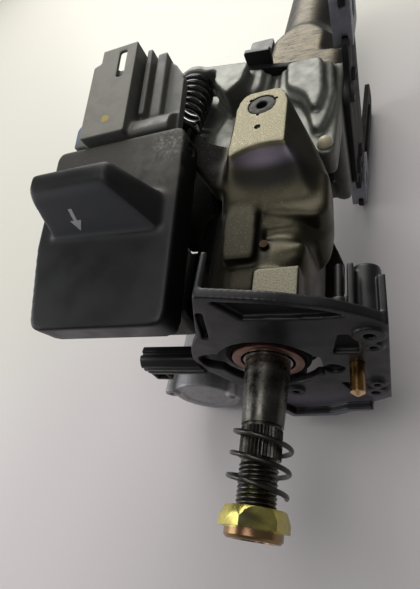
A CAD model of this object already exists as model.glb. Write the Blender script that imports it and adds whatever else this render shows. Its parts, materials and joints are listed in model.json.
import json
import math

import bpy
from mathutils import Euler, Matrix, Vector


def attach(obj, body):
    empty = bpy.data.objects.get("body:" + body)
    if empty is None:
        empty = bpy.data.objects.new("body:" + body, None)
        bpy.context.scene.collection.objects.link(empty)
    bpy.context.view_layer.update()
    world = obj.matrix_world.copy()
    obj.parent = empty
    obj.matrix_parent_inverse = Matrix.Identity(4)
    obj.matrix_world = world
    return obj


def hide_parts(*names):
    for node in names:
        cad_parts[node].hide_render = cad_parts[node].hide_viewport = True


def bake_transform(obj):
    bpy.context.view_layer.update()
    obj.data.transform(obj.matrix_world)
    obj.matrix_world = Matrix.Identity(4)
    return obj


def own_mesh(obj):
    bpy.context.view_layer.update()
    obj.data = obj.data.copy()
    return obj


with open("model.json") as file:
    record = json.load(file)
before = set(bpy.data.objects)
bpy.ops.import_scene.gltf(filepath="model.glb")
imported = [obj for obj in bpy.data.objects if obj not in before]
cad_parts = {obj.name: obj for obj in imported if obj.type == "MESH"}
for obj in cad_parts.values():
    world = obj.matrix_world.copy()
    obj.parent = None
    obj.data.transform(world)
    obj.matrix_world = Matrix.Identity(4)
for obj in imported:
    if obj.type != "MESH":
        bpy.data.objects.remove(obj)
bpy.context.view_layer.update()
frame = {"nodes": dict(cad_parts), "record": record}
nodes = frame["nodes"]
print("frame loaded with", len(nodes), "solids")

# settings are in millimetres, the scene is in metres
milli = 0.001
metre = 1000.0


def mm(*values):
    return Vector(values) * milli


def shift(*values):
    return Matrix.Translation(mm(*values))


def turn(degrees, axis):
    return Matrix.Rotation(math.radians(degrees), 4, axis)


# the head leans on its pivot, and the release unit slopes on the head
layout = {"pivot": (-37.5, -54.0, 0.0), "lean": 5.0, "unit": (-29.0, -112.0, 42.0), "pitch": 12.0}
columnFrame = shift(*layout["pivot"])
headFrame = columnFrame @ turn(layout["lean"], "Z")
unitFrame = headFrame @ shift(*layout["unit"]) @ turn(layout["pitch"], "X")


def pick(piece):
    bpy.ops.object.select_all(action="DESELECT")
    piece.select_set(True)
    bpy.context.view_layer.objects.active = piece


def applyAll(piece):
    pick(piece)
    for name in [m.name for m in piece.modifiers]:
        bpy.ops.object.modifier_apply(modifier=name)


def settle(piece, spot):  # moves the mesh to its place and leaves the object at the origin
    piece.matrix_world = spot @ piece.matrix_world
    pick(piece)
    bpy.ops.object.transform_apply(location=True, rotation=True, scale=True)


def smoothBy(piece, degrees):
    pick(piece)
    bpy.ops.object.shade_smooth_by_angle(angle=math.radians(degrees))


def editAll():
    bpy.ops.object.mode_set(mode="EDIT")
    bpy.ops.mesh.select_all(action="SELECT")


def editDone():
    bpy.ops.object.mode_set(mode="OBJECT")


def join(piece, *others):
    pick(piece)
    for other in others:
        other.select_set(True)
    bpy.ops.object.join()


weldGap = 0.000002  # metres


def copyOf(nodeName, pieceName):
    piece = nodes[nodeName].copy()
    piece.data = nodes[nodeName].data.copy()
    for key in list(piece.keys()):
        del piece[key]
    piece.parent = None
    piece.name = piece.data.name = pieceName
    bpy.context.scene.collection.objects.link(piece)
    pick(piece)
    bpy.ops.mesh.customdata_custom_splitnormals_clear()
    editAll()
    bpy.ops.mesh.remove_doubles(threshold=weldGap)
    editDone()
    return piece


# smooths a mesh, more so where share(point) is high
softFactor = 0.5


def relax(piece, rounds, share=None):
    soft = piece.modifiers.new("soft", "SMOOTH")
    soft.factor = softFactor
    soft.iterations = rounds
    if share:
        group = piece.vertex_groups.new(name="soft")
        for v in piece.data.vertices:
            group.add([v.index], share(v.co * metre), "REPLACE")
        soft.vertex_group = "soft"
    applyAll(piece)
    piece.vertex_groups.clear()


# a moulded or cast skin over a solid, and over a web joined to it if there is one;
# it is made square to the piece's own frame, and its edges run soft
def skinPiece(nodeName, pieceName, s, base, *shares, joined=None):
    piece = copyOf(nodeName, pieceName)
    if joined:
        join(piece, joined)
    settle(piece, base.inverted())
    skin = piece.modifiers.new("skin", "REMESH")
    skin.mode = "VOXEL"
    skin.voxel_size = s["voxel"] * milli
    skin.use_smooth_shade = True
    applyAll(piece)
    for share in shares or (None,):
        relax(piece, s["rounds"], share)
    if s.get("after"):
        relax(piece, s["after"])
    settle(piece, base)
    print("skinned", pieceName, len(piece.data.polygons), "faces")
    return piece


# flat web that joins a casting before it is skinned
def castWeb(s, base):
    bpy.ops.mesh.primitive_circle_add(vertices=len(s["corners"]), fill_type="NGON")
    web = bpy.context.object
    for v, corner in zip(web.data.vertices, s["corners"]):
        v.co = mm(*corner, s["foot"])
    editAll()
    bpy.ops.mesh.extrude_region_move(TRANSFORM_OT_translate={"value": mm(0, 0, s["rise"])})
    bpy.ops.mesh.select_all(action="SELECT")
    bpy.ops.mesh.normals_make_consistent(inside=False)
    editDone()
    settle(web, base)
    return web


# a pressed or turned piece: the solid with its sharp edges broken
bevelStyle = {"flat": 1.5, "steps": 2, "angle": 35}


def bevelPiece(nodeName, pieceName, s):
    piece = copyOf(nodeName, pieceName)
    editAll()
    bpy.ops.mesh.dissolve_limited(angle_limit=math.radians(bevelStyle["flat"]))
    editDone()
    edge = piece.modifiers.new("edge", "BEVEL")
    edge.width = s["edge"] * milli
    edge.segments = bevelStyle["steps"]
    edge.limit_method = "ANGLE"
    edge.angle_limit = math.radians(bevelStyle["angle"])
    applyAll(piece)
    smoothBy(piece, bevelStyle["angle"])
    return piece


def dress(piece, body, slotName, finish, *replaced):
    piece.data.materials.clear()
    piece.data.materials.append(finish)
    if body:  # a piece that bends between two bodies rides neither
        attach(piece, body)
    if replaced:
        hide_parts(*replaced)


# nodes of a finish
def add(tree, kind, sockets=None, **props):
    node = tree.nodes.new(kind)
    for key, value in props.items():
        setattr(node, key, value)
    for key, value in (sockets or {}).items():
        if isinstance(value, bpy.types.NodeSocket):
            tree.links.new(value, node.inputs[key])
        else:
            node.inputs[key].default_value = value
    return node


def grain(tree, coords, size, detail, stretch=None, warp=0.0):
    if stretch:
        coords = add(tree, "ShaderNodeMapping", {"Vector": coords, "Scale": stretch}).outputs[0]
    return add(tree, "ShaderNodeTexNoise", {"Vector": coords, "Scale": metre / size,
                                            "Detail": detail, "Distortion": warp}).outputs[0]


def span(tree, value, low, high, start=0.0, end=1.0):
    limits = {"From Min": low, "From Max": high, "To Min": start, "To Max": end}
    return add(tree, "ShaderNodeMapRange", {"Value": value, **limits},
               interpolation_type="SMOOTHSTEP").outputs[0]


def times(tree, a, b):
    return add(tree, "ShaderNodeMath", {0: a, 1: b}, operation="MULTIPLY",
               use_clamp=True).outputs[0]


def dot(tree, a, b):
    return add(tree, "ShaderNodeVectorMath", {0: a, 1: b}, operation="DOT_PRODUCT").outputs[1]


# sockets of the mix node, for numbers and for colours
mixSockets = {"number": (2, 3, 0), "colour": (6, 7, 2)}


def blendNumber(tree, share, under, over):
    first, second, result = mixSockets["number"]
    return add(tree, "ShaderNodeMix", {0: share, first: under, second: over}).outputs[result]


def tint(tree, share, under, over):
    first, second, result = mixSockets["colour"]
    node = add(tree, "ShaderNodeMix", {0: share}, data_type="RGBA")
    for index, value in ((first, under), (second, over)):
        if isinstance(value, bpy.types.NodeSocket):
            tree.links.new(value, node.inputs[index])
        else:
            node.inputs[index].default_value = (*value, 1.0)
    return node.outputs[result]


def local(tree, coords, base, centre, radii=(1, 1, 1)):
    place = {"Location": base @ mm(*centre), "Rotation": base.to_euler(),
             "Scale": [r * milli for r in radii]}
    return add(tree, "ShaderNodeMapping", {"Vector": coords, **place},
               vector_type="TEXTURE").outputs[0]


# ragged edges of blobs and levels
blobEdge = {"size": 3.0, "detail": 4.0, "span": (0.2, 0.8)}
levelEdge = {"size": 6.0, "detail": 5.0, "span": (0.25, 0.75)}


def fray(tree, coords, value, ragged, s):
    if not ragged:
        return value
    noise = grain(tree, coords, s["size"], s["detail"])
    rough = span(tree, noise, *s["span"], -ragged, ragged)
    return add(tree, "ShaderNodeMath", {0: value, 1: rough}, operation="ADD").outputs[0]


# masks: a soft-edged blob, a level along one axis, faces that look one way, several
# masks at once, specks, and worn edges
def blob(base, centre, radii, edge=0.35, ragged=0.0):
    def mask(tree, coords):
        inside = local(tree, coords, base, centre, radii)
        reach = add(tree, "ShaderNodeVectorMath", {0: inside}, operation="LENGTH").outputs[1]
        return span(tree, fray(tree, coords, reach, ragged, blobEdge), 1.0 + edge, 1.0 - edge)
    return mask


def level(base, axis, low, high, ragged=0.0):
    def mask(tree, coords):
        parts = add(tree, "ShaderNodeSeparateXYZ", {0: local(tree, coords, base, (0, 0, 0))})
        return span(tree, fray(tree, coords, parts.outputs[axis], ragged, levelEdge), low, high)
    return mask


def facing(base, direction, low, high):
    way = (base.to_3x3() @ Vector(direction)).normalized()

    def mask(tree, coords):
        normal = add(tree, "ShaderNodeNewGeometry").outputs["Normal"]
        return span(tree, dot(tree, normal, way), low, high)
    return mask


def both(*masks):
    def mask(tree, coords):
        value = masks[0](tree, coords)
        for other in masks[1:]:
            value = times(tree, value, other(tree, coords))
        return value
    return mask


def speckle(size, low, high, detail=4.0, stretch=None):
    def mask(tree, coords):
        return span(tree, grain(tree, coords, size, detail, stretch), low, high)
    return mask


def worn(low, high):
    def mask(tree, coords):
        pointy = add(tree, "ShaderNodeNewGeometry").outputs["Pointiness"]
        return span(tree, pointy, low, high)
    return mask


# a layer of colour, and of gloss if given, where all its masks meet
def zone(colour, *masks, share=1.0, rough=None):
    return {"colour": colour, "mask": both(*masks), "share": share, "rough": rough}


# a finish: base colour, cloudy stain, fine mottle, layered zones, uneven gloss and fine relief
finishStyle = {
    "cloudDetail": 5.0, "cloudSpan": (0.35, 0.7), "warp": 0.4, "evenSpan": (0.3, 0.7),
    "mottleDetail": 3.0, "mottleDark": 0.55, "mottleShare": 0.25, "glossSize": 0.4,
    "metal": 0.0, "shine": 0.5, "reliefDetail": 4.0, "reliefDepth": 0.0002, "stretch": None}


def makeFinish(name, settings, zones=()):
    s = {**finishStyle, **settings}
    finish = bpy.data.materials.new(name)
    finish.use_nodes = True
    tree = finish.node_tree
    shader = tree.nodes["Principled BSDF"]
    coords = add(tree, "ShaderNodeTexCoord").outputs["Object"]
    clouds = grain(tree, coords, s["cloud"], s["cloudDetail"], warp=s["warp"])
    stained = times(tree, span(tree, clouds, *s["cloudSpan"]), s["share"])
    colour = tint(tree, stained, s["base"], s["stain"])
    specks = span(tree, grain(tree, coords, s["mottle"], s["mottleDetail"]), *s["evenSpan"])
    dark = [c * s["mottleDark"] for c in s["base"]]
    colour = tint(tree, times(tree, specks, s["mottleShare"]), colour, dark)
    gloss = grain(tree, coords, s["cloud"] * s["glossSize"], s["cloudDetail"])
    rough = span(tree, gloss, *s["evenSpan"], *s["rough"])
    for layer in zones:
        share = times(tree, layer["mask"](tree, coords), layer["share"])
        colour = tint(tree, share, colour, layer["colour"])
        if layer["rough"] is not None:
            rough = blendNumber(tree, share, rough, layer["rough"])
    tree.links.new(colour, shader.inputs["Base Color"])
    tree.links.new(rough, shader.inputs["Roughness"])
    shader.inputs["Metallic"].default_value = s["metal"]
    shader.inputs["Specular IOR Level"].default_value = s["shine"]
    relief = grain(tree, coords, s["relief"], s["reliefDetail"], s["stretch"])
    bump = add(tree, "ShaderNodeBump", {"Height": relief, "Strength": s["bump"],
                                        "Distance": s["reliefDepth"]})
    tree.links.new(bump.outputs[0], shader.inputs["Normal"])
    return finish


print("making finishes")
handleTop = facing(unitFrame, (0, 0, 1), 0.55, 0.95)
handleBlack = makeFinish("handleBlack", {
    "base": (0.008, 0.0084, 0.009), "stain": (0.0115, 0.012, 0.0125), "cloud": 30, "share": 0.6,
    "mottle": 0.8, "rough": (0.36, 0.48), "relief": 0.5, "bump": 0.1, "shine": 0.3}, [
    zone((0.045, 0.042, 0.035), level(unitFrame, "Y", 50, 62, 4),
         level(unitFrame, "X", -26, -14, 5), handleTop, share=0.7, rough=0.6),
    zone((0.0035, 0.0035, 0.0035), facing(unitFrame, (1, 0, 0), 0.6, 0.95), share=0.9, rough=0.6),
    zone((0.06, 0.062, 0.068), facing(unitFrame, (0, -0.87, 0.48), 0.8, 0.97),
         level(unitFrame, "Y", 30, 36), share=0.85, rough=0.5),
    zone((0.06, 0.057, 0.047), level(unitFrame, "Y", 66, 70, 3), handleTop, share=0.75, rough=0.6),
    zone((0.15, 0.14, 0.12), speckle(1.0, 0.58, 0.74), level(unitFrame, "Y", 64, 78), handleTop,
         share=0.5, rough=0.7),
    zone((0.1, 0.096, 0.082), blob(unitFrame, (-11, 78, 0), (13, 15, 6), 0.7, 0.3),
         speckle(5, 0.35, 0.62), share=0.7, rough=0.65),
    zone((0.3, 0.29, 0.26), blob(unitFrame, (-7, 84, 0), (7, 8, 5), 0.6, 0.3),
         speckle(1.6, 0.45, 0.7, 6.0), share=0.6),
])
moduleFace = both(facing(unitFrame, (0, 0, 1), 0.7, 0.95), level(unitFrame, "Z", -1, 1))
moduleGrey = makeFinish("moduleGrey", {
    "base": (0.14, 0.142, 0.129), "stain": (0.178, 0.178, 0.158), "cloud": 12, "share": 0.6,
    "mottle": 0.7, "rough": (0.45, 0.6), "relief": 0.6, "bump": 0.15}, [
    zone((0.44, 0.428, 0.36), moduleFace, share=0.9, rough=0.66),
    zone((0.32, 0.31, 0.263), moduleFace, speckle(7, 0.4, 0.65), share=0.7),
    zone((0.42, 0.4, 0.34), moduleFace, speckle(0.7, 0.55, 0.7), share=0.4),
    zone((0.1, 0.098, 0.09), facing(unitFrame, (0, 0, 1), 0.8, 0.97),
         level(unitFrame, "Z", -6, -4), share=0.55),
    zone((0.42, 0.33, 0.08), blob(unitFrame, (-42.5, 104, 3), (2.3, 2.0, 3), 0.25, 0.25)),
    zone((0.14, 0.2, 0.3), blob(unitFrame, (-62, 107, -3), (5, 8, 5), 0.4, 0.4), share=0.8),
])
headUp = facing(headFrame, (0, 0, 1), 0.88, 0.98)
groundTop = both(headUp, level(headFrame, "Z", 46.3, 47.4))
groundPad = both(headUp, level(headFrame, "Y", -83.5, -85), level(headFrame, "Z", 34, 35.5))
headAlloy = makeFinish("headAlloy", {
    "base": (0.05, 0.045, 0.029), "stain": (0.032, 0.029, 0.019), "cloud": 20, "share": 0.6,
    "mottle": 0.5, "mottleShare": 0.3, "rough": (0.33, 0.45), "relief": 0.5, "bump": 0.3,
    "metal": 0.85, "shine": 0.3}, [
    zone((0.019, 0.0172, 0.011), level(headFrame, "X", 4, 2), level(headFrame, "Y", -50, -58),
         share=0.85, rough=0.48),
    zone((0.006, 0.0058, 0.005), level(headFrame, "X", -15, -20), share=0.95, rough=0.9),
    zone((0.33, 0.306, 0.212), groundTop, rough=0.66),
    zone((0.25, 0.235, 0.18), groundPad, rough=0.66),
    zone((0.21, 0.19, 0.14), groundTop, speckle(0.6, 0.42, 0.62, 3.0), share=0.75),
    zone((0.14, 0.13, 0.095), groundPad, speckle(0.6, 0.42, 0.62, 3.0), share=0.75),
    zone((0.56, 0.52, 0.4), groundTop, speckle(0.55, 0.6, 0.7, 3.0), share=0.7, rough=0.4),
    zone((0.3, 0.28, 0.21), speckle(0.42, 0.62, 0.7), headUp, share=0.3, rough=0.45),
    zone((0.01, 0.0095, 0.009), blob(headFrame, (9, -40, 41), (21, 6.5, 9), 0.6),
         share=0.9, rough=0.5),
    zone((0.066, 0.056, 0.078), blob(headFrame, (4, -29.5, 44.5), (24, 6.5, 6), 0.5),
         facing(headFrame, (0, -0.6, 0.8), 0.5, 0.85), level(headFrame, "Z", 47, 46),
         share=0.8, rough=0.36),
    zone((0.015, 0.014, 0.012), blob(headFrame, (0, 0, 48), (7.0, 7.0, 2.5), 0.05),
         share=0.95, rough=0.5),
    zone((0.018, 0.016, 0.013), blob(headFrame, (3.8, -74, 33.5), (3.2, 8, 3.4), 0.35), share=0.9),
    zone((0.008, 0.0078, 0.007), facing(headFrame, (0, -1, 0), 0.75, 0.95),
         level(headFrame, "Y", -86, -89), share=0.95, rough=0.8),
    zone((0.007, 0.0068, 0.006), level(headFrame, "Y", -99, -103), share=0.95, rough=0.8),
])
supportAlloy = makeFinish("supportAlloy", {
    "base": (0.145, 0.149, 0.13), "stain": (0.09, 0.092, 0.08), "cloud": 16, "share": 0.7,
    "mottle": 1.2, "mottleShare": 0.15, "rough": (0.36, 0.5), "relief": 1.6,
    "stretch": (1, 0.25, 1), "bump": 0.14, "metal": 0.42}, [
    zone((0.09, 0.09, 0.085), speckle(2.0, 0.6, 0.75), level(columnFrame, "Y", 20, 30), share=0.5),
])
lockAlloy = makeFinish("lockAlloy", {
    "base": (0.38, 0.375, 0.39), "stain": (0.29, 0.285, 0.3), "cloud": 9, "share": 0.7,
    "mottle": 1.0, "mottleShare": 0.3, "rough": (0.4, 0.55), "relief": 0.8, "bump": 0.25,
    "metal": 0.45}, [
    zone((0.14, 0.138, 0.145), speckle(1.8, 0.6, 0.7), share=0.45, rough=0.6),
])
jacketTop = facing(columnFrame, (0, 0, 1), 0.9, 0.98)
jacketSteel = makeFinish("jacketSteel", {
    "base": (0.046, 0.041, 0.033), "stain": (0.025, 0.0225, 0.0185), "cloud": 14, "share": 0.8,
    "mottle": 1.0, "mottleShare": 0.3, "rough": (0.36, 0.52), "relief": 0.9,
    "stretch": (0.06, 1, 1), "bump": 0.3, "metal": 0.7, "shine": 0.3}, [
    zone((0.09, 0.07, 0.036), jacketTop, speckle(1.5, 0.3, 0.6, 5.0, (0.14, 1, 1)),
         share=0.85, rough=0.38),
    zone((0.018, 0.0145, 0.01), jacketTop, speckle(0.6, 0.6, 0.66, 5.0, (0.2, 1, 1)),
         share=0.6, rough=0.6),
    zone((0.014, 0.011, 0.008), jacketTop, speckle(1.0, 0.63, 0.68, 3.0, (0.5, 1, 1)),
         share=0.9, rough=0.6),
])
darkSteel = makeFinish("darkSteel", {
    "base": (0.008, 0.008, 0.0082), "stain": (0.012, 0.0118, 0.0112), "cloud": 12, "share": 0.7,
    "mottle": 0.9, "rough": (0.58, 0.72), "relief": 0.7, "bump": 0.2, "metal": 0.1,
    "shine": 0.25}, [
    zone((0.12, 0.115, 0.11), worn(0.54, 0.6), share=0.4),
])
capsuleAlloy = makeFinish("capsuleAlloy", {
    "base": (0.27, 0.28, 0.32), "stain": (0.19, 0.195, 0.22), "cloud": 8, "share": 0.6,
    "mottle": 0.8, "rough": (0.4, 0.55), "relief": 0.8, "bump": 0.2, "metal": 0.4})
shaftSteel = makeFinish("shaftSteel", {
    "base": (0.13, 0.125, 0.11), "stain": (0.055, 0.053, 0.046), "cloud": 8, "share": 0.85,
    "mottle": 0.7, "mottleShare": 0.3, "rough": (0.2, 0.36), "relief": 0.5, "bump": 0.15,
    "metal": 1.0}, [
    zone((0.035, 0.03, 0.026), speckle(1.5, 0.62, 0.7), share=0.75, rough=0.5),
    zone((0.3, 0.28, 0.24), level(headFrame, "Y", -117, -114), speckle(2.0, 0.3, 0.55),
         share=0.5, rough=0.3),
    zone((0.045, 0.043, 0.038), level(headFrame, "Y", -132, -136), speckle(3.0, 0.3, 0.6),
         share=0.75, rough=0.32),
])
pinSteel = makeFinish("pinSteel", {
    "base": (0.029, 0.0275, 0.024), "stain": (0.019, 0.018, 0.0155), "cloud": 5, "share": 0.6,
    "mottle": 0.5, "rough": (0.5, 0.62), "relief": 0.4, "bump": 0.1, "metal": 0.3,
    "shine": 0.3}, [
    zone((0.006, 0.006, 0.006), blob(headFrame, (0, 0, 48), (3.1, 3.1, 9), 0.12),
         share=0.95, rough=0.7),
])
bearingSteel = makeFinish("bearingSteel", {
    "base": (0.3, 0.295, 0.29), "stain": (0.18, 0.175, 0.165), "cloud": 5, "share": 0.5,
    "mottle": 0.6, "rough": (0.18, 0.3), "relief": 0.4, "bump": 0.06, "metal": 1.0})
raceCopper = makeFinish("raceCopper", {
    "base": (0.27, 0.14, 0.1), "stain": (0.13, 0.07, 0.052), "cloud": 6, "share": 0.6,
    "mottle": 0.6, "rough": (0.28, 0.4), "relief": 0.4, "bump": 0.08, "metal": 0.85})
springBlack = makeFinish("springBlack", {
    "base": (0.01, 0.01, 0.0105), "stain": (0.02, 0.019, 0.018), "cloud": 6, "share": 0.6,
    "mottle": 0.5, "rough": (0.16, 0.28), "relief": 0.6, "bump": 0.08, "shine": 0.75})
springSteel = makeFinish("springSteel", {
    "base": (0.085, 0.082, 0.074), "stain": (0.045, 0.042, 0.037), "cloud": 5, "share": 0.7,
    "mottle": 0.5, "rough": (0.25, 0.4), "relief": 0.5, "bump": 0.1, "metal": 0.9})
zincYellow = makeFinish("zincYellow", {
    "base": (0.55, 0.485, 0.14), "stain": (0.41, 0.355, 0.1), "cloud": 7, "share": 0.6,
    "mottle": 0.7, "mottleShare": 0.12, "rough": (0.2, 0.34), "relief": 0.6, "bump": 0.12,
    "metal": 0.9}, [
    zone((0.034, 0.034, 0.021), facing(headFrame, (0.02, 0, 1), 0.9, 0.97), share=0.93, rough=0.34),
    zone((0.24, 0.13, 0.075), level(headFrame, "Y", -170.4, -171.2), share=0.85, rough=0.24),
])
hornBrass = makeFinish("hornBrass", {
    "base": (0.3, 0.17, 0.06), "stain": (0.22, 0.125, 0.048), "cloud": 9, "share": 0.5,
    "mottle": 0.5, "rough": (0.2, 0.32), "relief": 0.5, "stretch": (1, 0.1, 1), "bump": 0.02,
    "metal": 1.0}, [
    zone((0.75, 0.5, 0.28), level(headFrame, "Y", -120.6, -121.4), rough=0.25),
])
copperScrew = makeFinish("copperScrew", {
    "base": (0.022, 0.0125, 0.0075), "stain": (0.015, 0.009, 0.0055), "cloud": 3, "share": 0.6,
    "mottle": 0.4, "rough": (0.25, 0.4), "relief": 0.4, "bump": 0.1, "metal": 1.0})
creamNylon = makeFinish("creamNylon", {
    "base": (0.5, 0.45, 0.31), "stain": (0.4, 0.35, 0.23), "cloud": 5, "share": 0.6,
    "mottle": 0.6, "mottleShare": 0.08, "rough": (0.38, 0.5), "relief": 0.6, "bump": 0.08})
plateFront = -109.5  # front face of the switch bracket, in the head frame
plateBlack = makeFinish("plateBlack", {
    "base": (0.006, 0.0062, 0.0075), "stain": (0.009, 0.0095, 0.0115), "cloud": 18, "share": 0.7,
    "mottle": 0.8, "rough": (0.34, 0.46), "relief": 0.5, "bump": 0.1, "shine": 0.4}, [
    zone((0.15, 0.143, 0.172), level(headFrame, "Z", -16, -48),
         facing(headFrame, (0, -1, 0), 0.6, 0.95), share=0.85, rough=0.46),
    zone((0.002, 0.002, 0.002), facing(headFrame, (0, -1, 0), 0.7, 0.95),
         level(headFrame, "Y", plateFront + 1.2, plateFront + 2.0), share=0.95, rough=0.85),
])
arrowWhite = makeFinish("arrowWhite", {
    "base": (0.5, 0.5, 0.51), "stain": (0.36, 0.37, 0.38), "cloud": 4, "share": 0.5,
    "mottle": 0.5, "mottleShare": 0.15, "rough": (0.45, 0.6), "relief": 0.5, "bump": 0.1})

slotFinish = {
    "cast_head": headAlloy, "cast_support": supportAlloy, "cast_lock": lockAlloy,
    "jacket_steel": jacketSteel, "dark_steel": darkSteel, "shaft_steel": shaftSteel,
    "pin_steel": pinSteel, "bearing_steel": bearingSteel, "race_copper": raceCopper,
    "spring_black": springBlack, "spring_steel": springSteel, "zinc_yellow": zincYellow,
    "brass": hornBrass, "capsule_alloy": capsuleAlloy, "nylon": creamNylon,
    "black_plastic": plateBlack, "module_plastic": moduleGrey, "copper_screw": copperScrew}
slotOf = {part["node"]: part["material_slot"] for part in frame["record"]["subparts"]}
for name, node in nodes.items():  # every solid that stays gets its finish
    node.data.materials.clear()
    node.data.materials.append(slotFinish[slotOf[name]])
print("finishes on", len(nodes), "solids")


# release handle: soft-edged moulding, sharper along the foot of its skirt
handleSet = {"voxel": 0.75, "rounds": 34, "after": 2, "foot": -12.5, "clear": -8.0, "least": 0.06}


def handleShare(p):
    rise = (p.z - handleSet["foot"]) / (handleSet["clear"] - handleSet["foot"])
    return min(1.0, max(handleSet["least"], rise))


handleShell = skinPiece("pull_handle", "handleShell", handleSet, unitFrame, handleShare)
dress(handleShell, "pull_handle", "black_plastic", handleBlack, "pull_handle")

# plain arrow on the face of the lip
arrowSet = {"shaft": (6.0, 1.8), "cells": (18, 6), "head": 3.4, "ahead": 1.2, "cuts": 10,
            "at": (-43.5, 47.0, 9.5), "slope": 61.0, "drop": 2, "lift": 0.06}
bpy.ops.mesh.primitive_grid_add(x_subdivisions=arrowSet["cells"][0],
                                y_subdivisions=arrowSet["cells"][1], size=milli)
pullArrow = bpy.context.object
pullArrow.name = pullArrow.data.name = "pullArrow"
pullArrow.scale = (*arrowSet["shaft"], 1)
bpy.ops.object.transform_apply(scale=True)
headSpot = (arrowSet["shaft"][0] / 2 + arrowSet["ahead"]) * milli
bpy.ops.mesh.primitive_circle_add(vertices=3, radius=arrowSet["head"] * milli, fill_type="NGON",
                                  location=(headSpot, 0, 0), rotation=(0, 0, -math.pi / 2))
arrowHead = bpy.context.object
editAll()
bpy.ops.mesh.subdivide(number_cuts=arrowSet["cuts"])
editDone()
join(pullArrow, arrowHead)
settle(pullArrow, unitFrame @ shift(*arrowSet["at"]) @ turn(arrowSet["slope"], "X")
       @ turn(-90, "Z") @ shift(0, 0, arrowSet["drop"]))
wrap = pullArrow.modifiers.new("wrap", "SHRINKWRAP")
wrap.target = handleShell
wrap.wrap_method = "PROJECT"
wrap.use_negative_direction = True
wrap.use_positive_direction = True
wrap.offset = arrowSet["lift"] * milli
applyAll(pullArrow)
dress(pullArrow, "pull_handle", "black_plastic", arrowWhite)
print("handle done")

# release module: mouldings with lightly rounded corners
moduleSet = {"voxel": 0.6, "rounds": 3}
moduleBody = skinPiece("module_housing", "moduleBody", moduleSet, unitFrame)
dress(moduleBody, "tilt_head", "module_plastic", moduleGrey, "module_housing")

# tilt head casting: soft flow in the scoop, tighter corners on the pads;
# a ramp is low end, high end, and how far the share takes to rise from each
headSet = {"voxel": 0.8, "rounds": 60, "after": 2, "edges": 0.07, "flow": (-64.0, -22.0, 5.0, 9.0),
           "ridge": {"right": 2.5, "upTo": -52, "from": -62, "rise": 10.0},
           "shelf": {"left": 4, "near": -84, "far": -62, "over": 20, "share": 0.4},
           "top": {"over": 46.5, "share": 0.25}, "foot": {"under": 20, "share": 0.3},
           "ridgeEnd": {"x": (-15, 4, 3.0, 2.0), "y": (-57, -41, 4.0, 4.0)},
           "dish": {"x": (5, 24, 3.0, 4.0), "y": (-84, -64, 3.0, 3.0)}, "endOver": 22}


def ramp(value, low, high, rise, fall):
    return min(1.0, (value - low) / rise, (high - value) / fall)


def headShare(p):
    ridge, shelf, top, foot = (headSet[key] for key in ("ridge", "shelf", "top", "foot"))
    inside = max(0.0, ramp(p.y, *headSet["flow"]))
    if p.x < ridge["right"] and p.y < ridge["upTo"]:  # the ridge keeps its edges
        inside *= max(0.0, (p.y - ridge["from"]) / ridge["rise"])
    onShelf = p.x > shelf["left"] and shelf["near"] < p.y < shelf["far"]
    if onShelf and p.z > shelf["over"]:  # shelf and hollow run soft
        inside = max(inside, shelf["share"])
    if p.z > top["over"]:  # the ground top stays flat to its rim
        inside *= top["share"]
    if p.z < foot["under"]:
        inside *= foot["share"]
    return max(headSet["edges"], inside)


def ridgeShare(p):  # the ridge's upper end and the dish beside it run out softly
    ends = [min(ramp(p.x, *s["x"]), ramp(p.y, *s["y"]))
            for s in (headSet["ridgeEnd"], headSet["dish"])]
    return max(0.0, *ends) if p.z > headSet["endOver"] else 0.0


headWebSet = {"foot": 12.2, "rise": 4.6,
              "corners": ((-28, -40), (-46, -34), (-50, -2), (-41, 0), (-33, -14))}
headCasting = skinPiece("tilt_housing", "headCasting", headSet, headFrame, headShare, ridgeShare,
                        ridgeShare, joined=castWeb(headWebSet, headFrame))

# staking round the pivot pin and the small dimple before it
stakeSet = {"ring": 7.2, "angles": (20, 140, 260), "size": 1.1, "tip": 0.6, "depth": 2.0,
            "dimple": (-0.6, -16.0), "dimpleSize": 1.6, "dimpleLift": 0.4, "top": 48.0,
            "sides": 20, "rings": 10, "smooth": 40}
cutters = []
for angle in stakeSet["angles"]:
    spot = mm(stakeSet["ring"] * math.cos(math.radians(angle)),
              stakeSet["ring"] * math.sin(math.radians(angle)), stakeSet["top"])
    bpy.ops.mesh.primitive_cone_add(vertices=stakeSet["sides"], radius1=stakeSet["size"] * milli,
                                    radius2=stakeSet["size"] * stakeSet["tip"] * milli,
                                    depth=stakeSet["depth"] * milli, location=spot)
    cutters.append(bpy.context.object)
bpy.ops.mesh.primitive_uv_sphere_add(
    segments=stakeSet["sides"], ring_count=stakeSet["rings"],
    radius=stakeSet["dimpleSize"] * milli,
    location=mm(*stakeSet["dimple"], stakeSet["top"] + stakeSet["dimpleLift"]))
cutters.append(bpy.context.object)
join(*cutters)
stakeTool = bpy.context.object
settle(stakeTool, headFrame)
cut = headCasting.modifiers.new("stakes", "BOOLEAN")
cut.object = stakeTool
cut.operation = "DIFFERENCE"
applyAll(headCasting)
bpy.data.objects.remove(stakeTool)
smoothBy(headCasting, stakeSet["smooth"])
dress(headCasting, "tilt_head", "cast_head", headAlloy, "tilt_housing")
print("head casting done")

# support casting: rounded ribs, and the left cheek runs on under the tilt spring
supportSet = {"voxel": 0.8, "rounds": 20}
cheekSet = {"foot": 21.5, "rise": 7.0,
            "corners": ((-24, -14), (-40, -6), (-46, 8), (-49, 48), (-24, 48))}
supportCasting = skinPiece("support_casting", "supportCasting", supportSet, columnFrame,
                           joined=castWeb(cheekSet, columnFrame))
dress(supportCasting, "column", "cast_support", supportAlloy, "support_casting")

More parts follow.
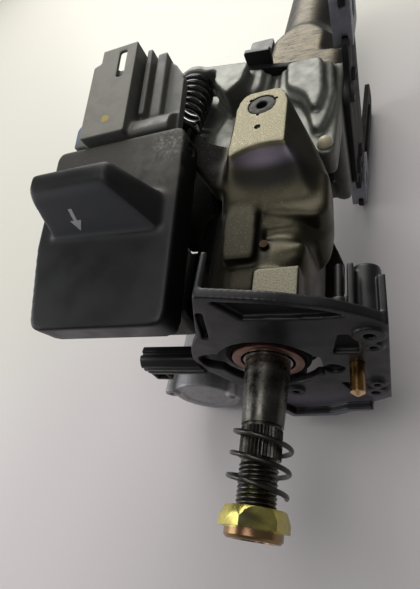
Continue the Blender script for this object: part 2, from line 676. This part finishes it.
lockSet = {"voxel": 0.6, "rounds": 4}
lockCasting = skinPiece("lock_housing", "lockCasting", lockSet, headFrame)
dress(lockCasting, "tilt_head", "cast_lock", lockAlloy, "lock_housing")

switchSet = {"voxel": 0.5, "rounds": 10}
switchPlate = skinPiece("switch_bracket", "switchPlate", switchSet, headFrame)
dress(switchPlate, "tilt_head", "black_plastic", plateBlack, "switch_bracket")

jacketSet = {"voxel": 0.95, "rounds": 30}
jacketTube = skinPiece("outer_jacket", "jacketTube", jacketSet, columnFrame)
dress(jacketTube, "column", "jacket_steel", jacketSteel, "outer_jacket")
print("castings and mouldings done")


# coil of wire wound along +Y from the origin and put in its place
coilStyle = {"sides": 12, "flat": (1, 1), "hand": 1, "steps": 40, "smooth": 60}


def windCoil(name, settings, place):
    s = {**coilStyle, **settings}
    bpy.ops.mesh.primitive_circle_add(vertices=s["sides"], radius=s["wire"] / 2 * milli,
                                      location=(s["radius"] * milli, 0, 0))
    coil = bpy.context.object
    coil.name = coil.data.name = name
    coil.scale = (*s["flat"], 1)
    bpy.ops.object.transform_apply(location=True, scale=True)
    wind = coil.modifiers.new("wind", "SCREW")
    wind.axis = "Y"
    wind.angle = 2 * math.pi * s["turns"] * s["hand"]
    wind.screw_offset = s["length"] * milli
    wind.steps = wind.render_steps = int(s["steps"] * s["turns"])
    wind.use_smooth_shade = True
    applyAll(coil)
    bpy.ops.object.mode_set(mode="EDIT")
    bpy.ops.mesh.select_all(action="DESELECT")
    bpy.ops.mesh.select_non_manifold()
    bpy.ops.mesh.fill_holes(sides=0)
    bpy.ops.mesh.select_all(action="SELECT")
    bpy.ops.mesh.normals_make_consistent(inside=False)
    editDone()
    settle(coil, place)
    smoothBy(coil, s["smooth"])
    return coil


# tilt spring: one end stays in the column's ear, the other follows the head's seat
tiltCoilSet = {"radius": 8.5, "wire": 2.95, "turns": 6.0, "length": 30.4, "at": (-46, 6.3, 40),
               "ear": (-46, 45.3, 40), "seat": (-46, -2.3, 40)}
tiltCoil = windCoil("tiltCoil", tiltCoilSet, columnFrame @ shift(*tiltCoilSet["at"]))
dress(tiltCoil, None, "spring_black", springBlack, "tilt_spring")
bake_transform(tiltCoil)

shaftCoilSet = {"radius": 11.0, "wire": 1.9, "turns": 2.6, "hand": -1, "length": 20.6,
                "at": (-0.4, -158.6, -0.4), "lean": (3, 0, -4), "start": 20}
shaftLean = Euler([math.radians(a) for a in shaftCoilSet["lean"]]).to_matrix().to_4x4()
shaftCoil = windCoil("shaftCoil", shaftCoilSet, headFrame @ shift(*shaftCoilSet["at"])
                     @ shaftLean @ turn(shaftCoilSet["start"], "Y"))
dress(shaftCoil, "upper_shaft", "spring_steel", springSteel, "shaft_spring")

# spring behind the horn pin: it shortens by the pin's travel, towards the closed end of its bore
hornCoilSet = {"radius": 2.05, "wire": 0.6, "turns": 4.0, "length": 9.0, "at": (35.6, -96.1, 2.0),
               "steps": 24, "keep": 0.675}
hornCoil = windCoil("hornCoil", hornCoilSet, headFrame @ shift(*hornCoilSet["at"]))
dress(hornCoil, "tilt_head", "spring_steel", springSteel, "horn_spring")
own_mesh(hornCoil)

# thread on the end of the shaft: a sharp profile wound on the same way
threadSet = {"radius": 6.9, "wire": 2.0, "sides": 4, "flat": (0.55, 0.72), "turns": 15.25,
             "length": 22.9, "from": -172.0, "smooth": 30}
shaftThread = windCoil("shaftThread", threadSet, headFrame @ shift(0, threadSet["from"], 0))
dress(shaftThread, "upper_shaft", "shaft_steel", shaftSteel)
print("coils and thread done")

# pressed, turned and moulded small pieces with broken edges
edgeSets = {
    "dash_bracket": ("dashPlate", {"edge": 0.6}), "flange_plate": ("flangeSheet", {"edge": 0.6}),
    "breakaway_capsules": ("capsulePair", {"edge": 0.5}), "wiring_clip": ("clipTab", {"edge": 0.5}),
    "harness_rail": ("railBar", {"edge": 0.25}), "rail_clip": ("railLatch", {"edge": 0.25}),
    "wheel_nut": ("hubNut", {"edge": 0.3}), "pivot_pins": ("pivotPair", {"edge": 0.35}),
    "front_bearing_cup": ("frontCup", {"edge": 0.3}),
    "module_bracket": ("moduleStrap", {"edge": 0.4})}
bodyOf = {n: body for body, members in frame["record"]["behaviour"]["bodies"].items()
          for n in members}
for nodeName, (pieceName, s) in edgeSets.items():
    piece = bevelPiece(nodeName, pieceName, s)
    slotName = slotOf[nodeName]
    dress(piece, bodyOf[nodeName], slotName, slotFinish[slotName], nodeName)
print("small pieces done")

# floor, light and camera
floorSet = {"level": -0.0738, "size": 6.0, "cells": 4, "warm": (0.72, 0.71, 0.645),
            "cool": (0.66, 0.625, 0.63), "slant": (-0.8, 0.6, 0), "change": (0.0, 0.2),
            "rough": 0.4, "shine": 0.3}
bpy.ops.mesh.primitive_grid_add(x_subdivisions=floorSet["cells"], y_subdivisions=floorSet["cells"],
                                size=floorSet["size"], location=(0, 0, floorSet["level"]))
floor = bpy.context.object
floor.name = "tableTop"
floorFinish = bpy.data.materials.new("tableFinish")
floorFinish.use_nodes = True
floorTree = floorFinish.node_tree
floorShader = floorTree.nodes["Principled BSDF"]
floorCoords = add(floorTree, "ShaderNodeTexCoord").outputs["Object"]
across = span(floorTree, dot(floorTree, floorCoords, floorSet["slant"]), *floorSet["change"])
floorTone = tint(floorTree, across, floorSet["cool"], floorSet["warm"])
floorTree.links.new(floorTone, floorShader.inputs["Base Color"])
floorShader.inputs["Roughness"].default_value = floorSet["rough"]
floorShader.inputs["Specular IOR Level"].default_value = floorSet["shine"]
floor.data.materials.append(floorFinish)

lampSets = {
    "windowLamp": {"at": (-0.4, 0.85, 0.6), "aim": (-0.05, 0.0, 0.0), "size": 0.8, "power": 11.7,
                   "colour": (1.0, 0.985, 0.94)},
    "ceilingLamp": {"at": (-0.2, -0.25, 1.2), "aim": (-0.05, -0.1, 0.0), "size": 0.7, "power": 4.4,
                    "colour": (1.0, 0.98, 0.97)},
    "doorLamp": {"at": (-0.95, -0.3, 0.3), "aim": (-0.05, -0.15, 0.0), "size": 0.6, "power": 3.6,
                 "colour": (0.97, 0.98, 1.0)}}
for name, s in lampSets.items():
    lamp = bpy.data.lights.new(name, "AREA")
    lamp.size = s["size"]
    lamp.energy = s["power"]
    lamp.color = s["colour"]
    holder = bpy.data.objects.new(name, lamp)
    bpy.context.scene.collection.objects.link(holder)
    holder.location = s["at"]
    aim = Vector(s["aim"]) - Vector(s["at"])
    holder.rotation_euler = aim.to_track_quat("-Z", "Y").to_euler()

roomSet = {"colour": (0.86, 0.86, 0.88, 1), "strength": 0.13}
world = bpy.data.worlds.new("paleRoom")
bpy.context.scene.world = world
world.use_nodes = True
room = world.node_tree.nodes["Background"]
room.inputs["Color"].default_value = roomSet["colour"]
room.inputs["Strength"].default_value = roomSet["strength"]

cameraSet = {"at": (23.4, -228.8, 162.0), "right": (0.9105, 0.2292, -0.345),
             "up": (-0.0119, 0.8472, 0.531), "lens": 25.98, "sensor": 36.0, "near": 0.01}
lens = bpy.data.cameras.new("photoView")
lens.lens = cameraSet["lens"]
lens.sensor_width = cameraSet["sensor"]
lens.clip_start = cameraSet["near"]
camera = bpy.data.objects.new("photoView", lens)
bpy.context.scene.collection.objects.link(camera)
right = Vector(cameraSet["right"]).normalized()
back = right.cross(Vector(cameraSet["up"])).normalized()
look = Matrix((right, back.cross(right), back)).transposed().to_4x4()
camera.matrix_world = shift(*cameraSet["at"]) @ look
bpy.context.scene.camera = camera
bpy.context.scene.view_settings.view_transform = "Standard"
print("stage done")
